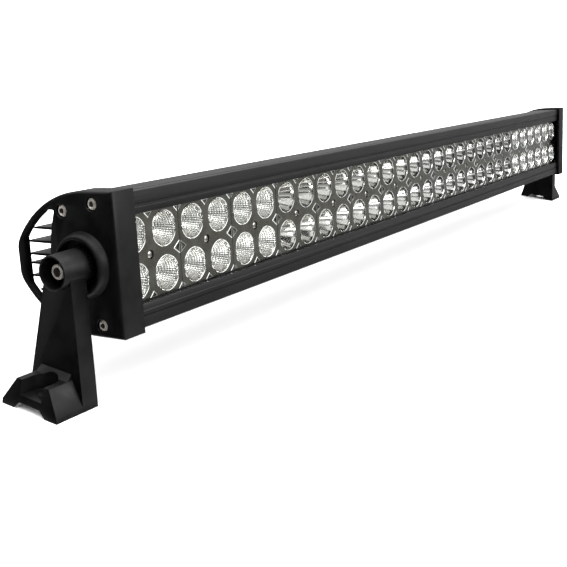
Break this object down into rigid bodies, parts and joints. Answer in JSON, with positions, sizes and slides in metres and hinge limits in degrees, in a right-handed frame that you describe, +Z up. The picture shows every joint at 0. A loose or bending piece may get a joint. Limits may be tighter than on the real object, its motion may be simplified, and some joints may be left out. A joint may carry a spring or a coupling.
{
  "type": "led light bar",
  "caption": "Long straight light bar with two rows of reflector cups behind a clear cover, finned back, end castings and two swivel brackets with forked feet.",
  "frame": {"origin": "under the middle of the whole object, at the level of the feet", "axes": "+X along the bar, the lit side faces -Y, +Z up"},
  "size_m": [0.8776, 0.0816, 0.1168],
  "materials": {
    "black_extrusion": "fine black powder coat on an aluminium extrusion",
    "black_casting": "black powder coat on die-cast aluminium",
    "reflector_chrome": "plastic with a vacuum-metallised mirror coat",
    "zinc_steel": "bright zinc or stainless",
    "clear_lens": "clear polycarbonate",
    "seal_rubber": "matt silicone",
    "white_board": "white solder mask with emitters",
    "driver_laminate": "green solder mask",
    "black_plastic": "moulded nylon"
  },
  "bodies": {
    "light_bar": {"housing_extrusion": "black_extrusion", "left_end_cap": "black_casting", "left_cap_gasket": "seal_rubber", "left_pivot_bolt": "zinc_steel", "left_pivot_washer": "zinc_steel", "left_cap_screw_1": "zinc_steel", "left_cap_screw_2": "zinc_steel", "left_cap_screw_3": "zinc_steel", "left_cap_screw_4": "zinc_steel", "right_end_cap": "black_casting", "right_cap_gasket": "seal_rubber", "right_pivot_bolt": "zinc_steel", "right_pivot_washer": "zinc_steel", "right_cap_screw_1": "zinc_steel", "right_cap_screw_2": "zinc_steel", "right_cap_screw_3": "zinc_steel", "right_cap_screw_4": "zinc_steel", "lens": "clear_lens", "lens_seal": "seal_rubber", "reflector_module_01": "reflector_chrome", "reflector_screw_01": "zinc_steel", "reflector_module_02": "reflector_chrome", "reflector_screw_02": "zinc_steel", "reflector_module_03": "reflector_chrome", "reflector_screw_03": "zinc_steel", "reflector_module_04": "reflector_chrome", "reflector_screw_04": "zinc_steel", "reflector_module_05": "reflector_chrome", "reflector_screw_05": "zinc_steel", "reflector_module_06": "reflector_chrome", "reflector_screw_06": "zinc_steel", "reflector_module_07": "reflector_chrome", "reflector_screw_07": "zinc_steel", "reflector_module_08": "reflector_chrome", "reflector_screw_08": "zinc_steel", "reflector_module_09": "reflector_chrome", "reflector_screw_09": "zinc_steel", "reflector_module_10": "reflector_chrome", "reflector_screw_10": "zinc_steel", "reflector_module_11": "reflector_chrome", "reflector_screw_11": "zinc_steel", "reflector_module_12": "reflector_chrome", "reflector_screw_12": "zinc_steel", "reflector_module_13": "reflector_chrome", "reflector_screw_13": "zinc_steel", "reflector_module_14": "reflector_chrome", "reflector_screw_14": "zinc_steel", "reflector_module_15": "reflector_chrome", "reflector_screw_15": "zinc_steel", "led_board_left": "white_board", "led_board_centre": "white_board", "led_board_right": "white_board", "driver_board": "driver_laminate", "cable_gland": "black_plastic", "cable_gland_nut": "black_plastic", "breather_vent": "black_plastic"},
    "left_bracket": {"left_bracket": "black_casting"},
    "right_bracket": {"right_bracket": "black_casting"}
  },
  "joints": [
    {"name": "left_bracket_pivot", "type": "hinge", "parent": "light_bar", "child": "left_bracket", "pos_m": [-0.413, -0.01097, 0.0738], "axis": [1, 0, 0], "continuous": true},
    {"name": "right_bracket_pivot", "type": "hinge", "parent": "light_bar", "child": "right_bracket", "pos_m": [0.413, -0.01097, 0.0738], "axis": [1, 0, 0], "continuous": true}
  ]
}
